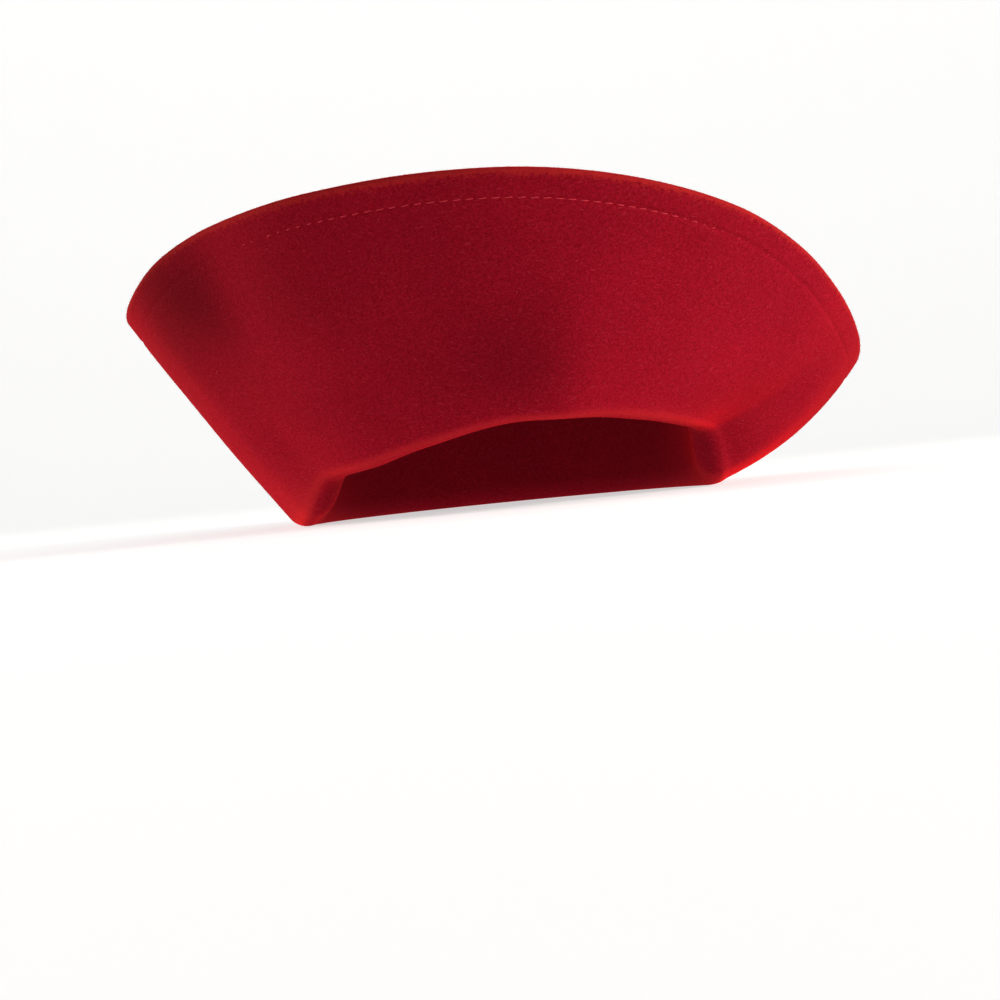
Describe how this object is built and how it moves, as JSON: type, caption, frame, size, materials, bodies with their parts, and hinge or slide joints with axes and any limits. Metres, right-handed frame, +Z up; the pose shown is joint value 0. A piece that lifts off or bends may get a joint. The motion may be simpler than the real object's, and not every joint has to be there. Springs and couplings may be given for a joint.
{
  "type": "wide-brimmed felt fedora with a turned-up brim",
  "caption": "One-piece wool felt fedora resting crown up: creased and pinched crown, rolled break, and a wide brim swept up all round to a stitched folded edge.",
  "frame": {"origin": "middle of the brim's outline in plan, on the surface that the hat rests on", "axes": "+Z up through the crown, -Y to the front of the hat, +X across it towards the wearer's left"},
  "size_m": [0.3362, 0.368, 0.1335],
  "materials": {
    "felt": "matte red wool felt with a short nap"
  },
  "bodies": {
    "root": {"felt_body": "felt"}
  },
  "joints": []
}
